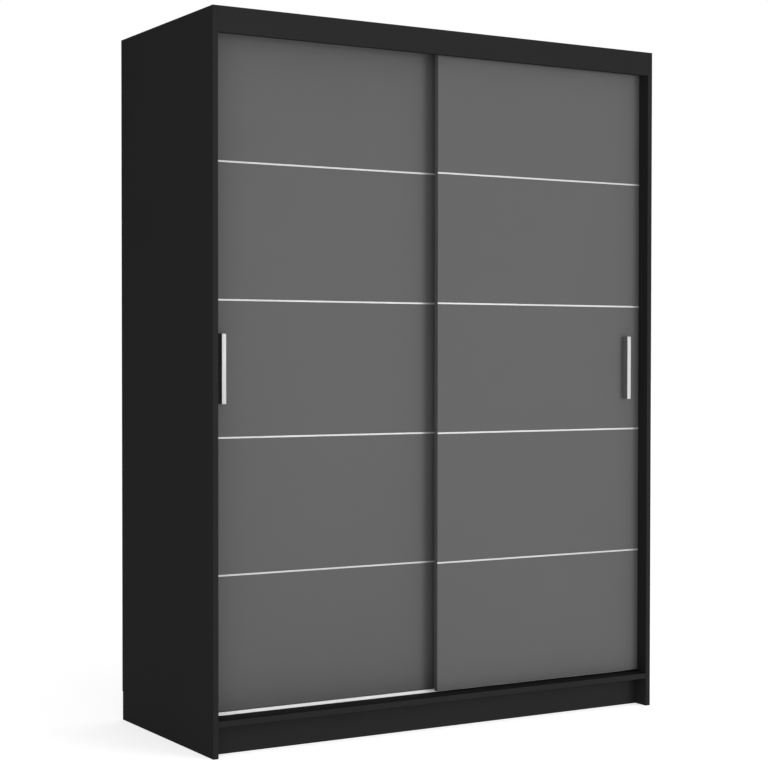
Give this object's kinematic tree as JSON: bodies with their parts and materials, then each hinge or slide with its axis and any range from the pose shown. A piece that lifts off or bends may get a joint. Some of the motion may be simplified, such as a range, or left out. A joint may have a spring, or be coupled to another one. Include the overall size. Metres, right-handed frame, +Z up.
{
  "type": "sliding door wardrobe",
  "caption": "Wide wardrobe with sliding doors that pass each other on grooved rollers, slim bar handles, thin metal strips across the doors, shelves and a hanging rail.",
  "frame": {"origin": "on the floor, under the middle of the wardrobe's footprint", "axes": "+Z up along the height; +Y towards the wall behind the back, so the doors face -Y; +X to the right seen from the front"},
  "size_m": [1.5, 0.6, 2],
  "materials": {
    "black_board": "melamine-faced particle board, black, fine satin texture",
    "grey_door": "melamine-faced particle board, dark grey, satin",
    "satin_strip": "satin anodised",
    "track_aluminium": "extruded, natural anodised",
    "handle_grey": "fine matt, dark grey",
    "back_hardboard": "thin hardboard, black lacquered face",
    "rail_chrome": "polished tube",
    "zinc_fittings": "zinc plated",
    "beech": "bare turned beech",
    "stop_rubber": "matt",
    "roller_plastic": "moulded, fine grain",
    "wheel_nylon": "smooth moulded nylon"
  },
  "bodies": {
    "carcass": {"side_panel_left": "black_board", "side_panel_right": "black_board", "top_panel": "black_board", "top_fascia": "black_board", "bottom_panel": "black_board", "plinth_front": "black_board", "plinth_rear": "black_board", "plinth_brace": "black_board", "centre_divider": "black_board", "back_panel_left": "back_hardboard", "back_panel_right": "back_hardboard", "hat_shelf_left": "black_board", "hat_shelf_right": "black_board", "shelf_1": "black_board", "shelf_2": "black_board", "shelf_3": "black_board", "shelf_4": "black_board", "hanging_rail": "rail_chrome", "rail_supports": "zinc_fittings", "shelf_pins": "zinc_fittings", "cam_discs": "zinc_fittings", "cam_bolts": "zinc_fittings", "wood_dowels": "beech", "back_nails": "zinc_fittings", "top_guide_track": "track_aluminium", "bottom_track": "track_aluminium", "track_screws": "zinc_fittings", "door_stops": "stop_rubber", "wall_brackets": "zinc_fittings", "fitting_screws": "zinc_fittings"},
    "right_door": {"right_door_panel": "grey_door", "right_strip_1": "satin_strip", "right_strip_2": "satin_strip", "right_strip_3": "satin_strip", "right_strip_4": "satin_strip", "right_handle_body": "handle_grey", "right_handle_face": "satin_strip", "right_handle_screws": "zinc_fittings", "right_roller_housings": "roller_plastic", "right_axle_pins": "zinc_fittings", "right_top_guides": "roller_plastic", "right_hardware_screws": "zinc_fittings"},
    "right_wheel_outer": {"right_wheel_outer": "wheel_nylon"},
    "right_wheel_inner": {"right_wheel_inner": "wheel_nylon"},
    "left_door": {"left_door_panel": "grey_door", "left_strip_1": "satin_strip", "left_strip_2": "satin_strip", "left_strip_3": "satin_strip", "left_strip_4": "satin_strip", "left_handle_body": "handle_grey", "left_handle_face": "satin_strip", "left_handle_screws": "zinc_fittings", "left_roller_housings": "roller_plastic", "left_axle_pins": "zinc_fittings", "left_top_guides": "roller_plastic", "left_hardware_screws": "zinc_fittings"},
    "left_wheel_outer": {"left_wheel_outer": "wheel_nylon"},
    "left_wheel_inner": {"left_wheel_inner": "wheel_nylon"}
  },
  "joints": [
    {"name": "right_door_slide", "type": "slide", "parent": "carcass", "child": "right_door", "axis": [1, 0, 0], "range_m": [-0.7245, 0]},
    {"name": "right_wheel_outer_spin", "type": "hinge", "parent": "right_door", "child": "right_wheel_outer", "pos_m": [0.6535, -0.23, 0.1198], "axis": [0, 1, 0], "continuous": true},
    {"name": "right_wheel_inner_spin", "type": "hinge", "parent": "right_door", "child": "right_wheel_inner", "pos_m": [0.071, -0.23, 0.1198], "axis": [0, 1, 0], "continuous": true},
    {"name": "left_door_slide", "type": "slide", "parent": "carcass", "child": "left_door", "axis": [1, 0, 0], "range_m": [0, 0.7245]},
    {"name": "left_wheel_outer_spin", "type": "hinge", "parent": "left_door", "child": "left_wheel_outer", "pos_m": [-0.6535, -0.19, 0.1198], "axis": [0, 1, 0], "continuous": true},
    {"name": "left_wheel_inner_spin", "type": "hinge", "parent": "left_door", "child": "left_wheel_inner", "pos_m": [-0.071, -0.19, 0.1198], "axis": [0, 1, 0], "continuous": true}
  ],
  "couplings": [
    {"joint": "right_wheel_outer_spin", "follows": "right_door_slide", "rad_per_m": 90.909},
    {"joint": "right_wheel_inner_spin", "follows": "right_door_slide", "rad_per_m": 90.909},
    {"joint": "left_wheel_outer_spin", "follows": "left_door_slide", "rad_per_m": 90.909},
    {"joint": "left_wheel_inner_spin", "follows": "left_door_slide", "rad_per_m": 90.909}
  ]
}
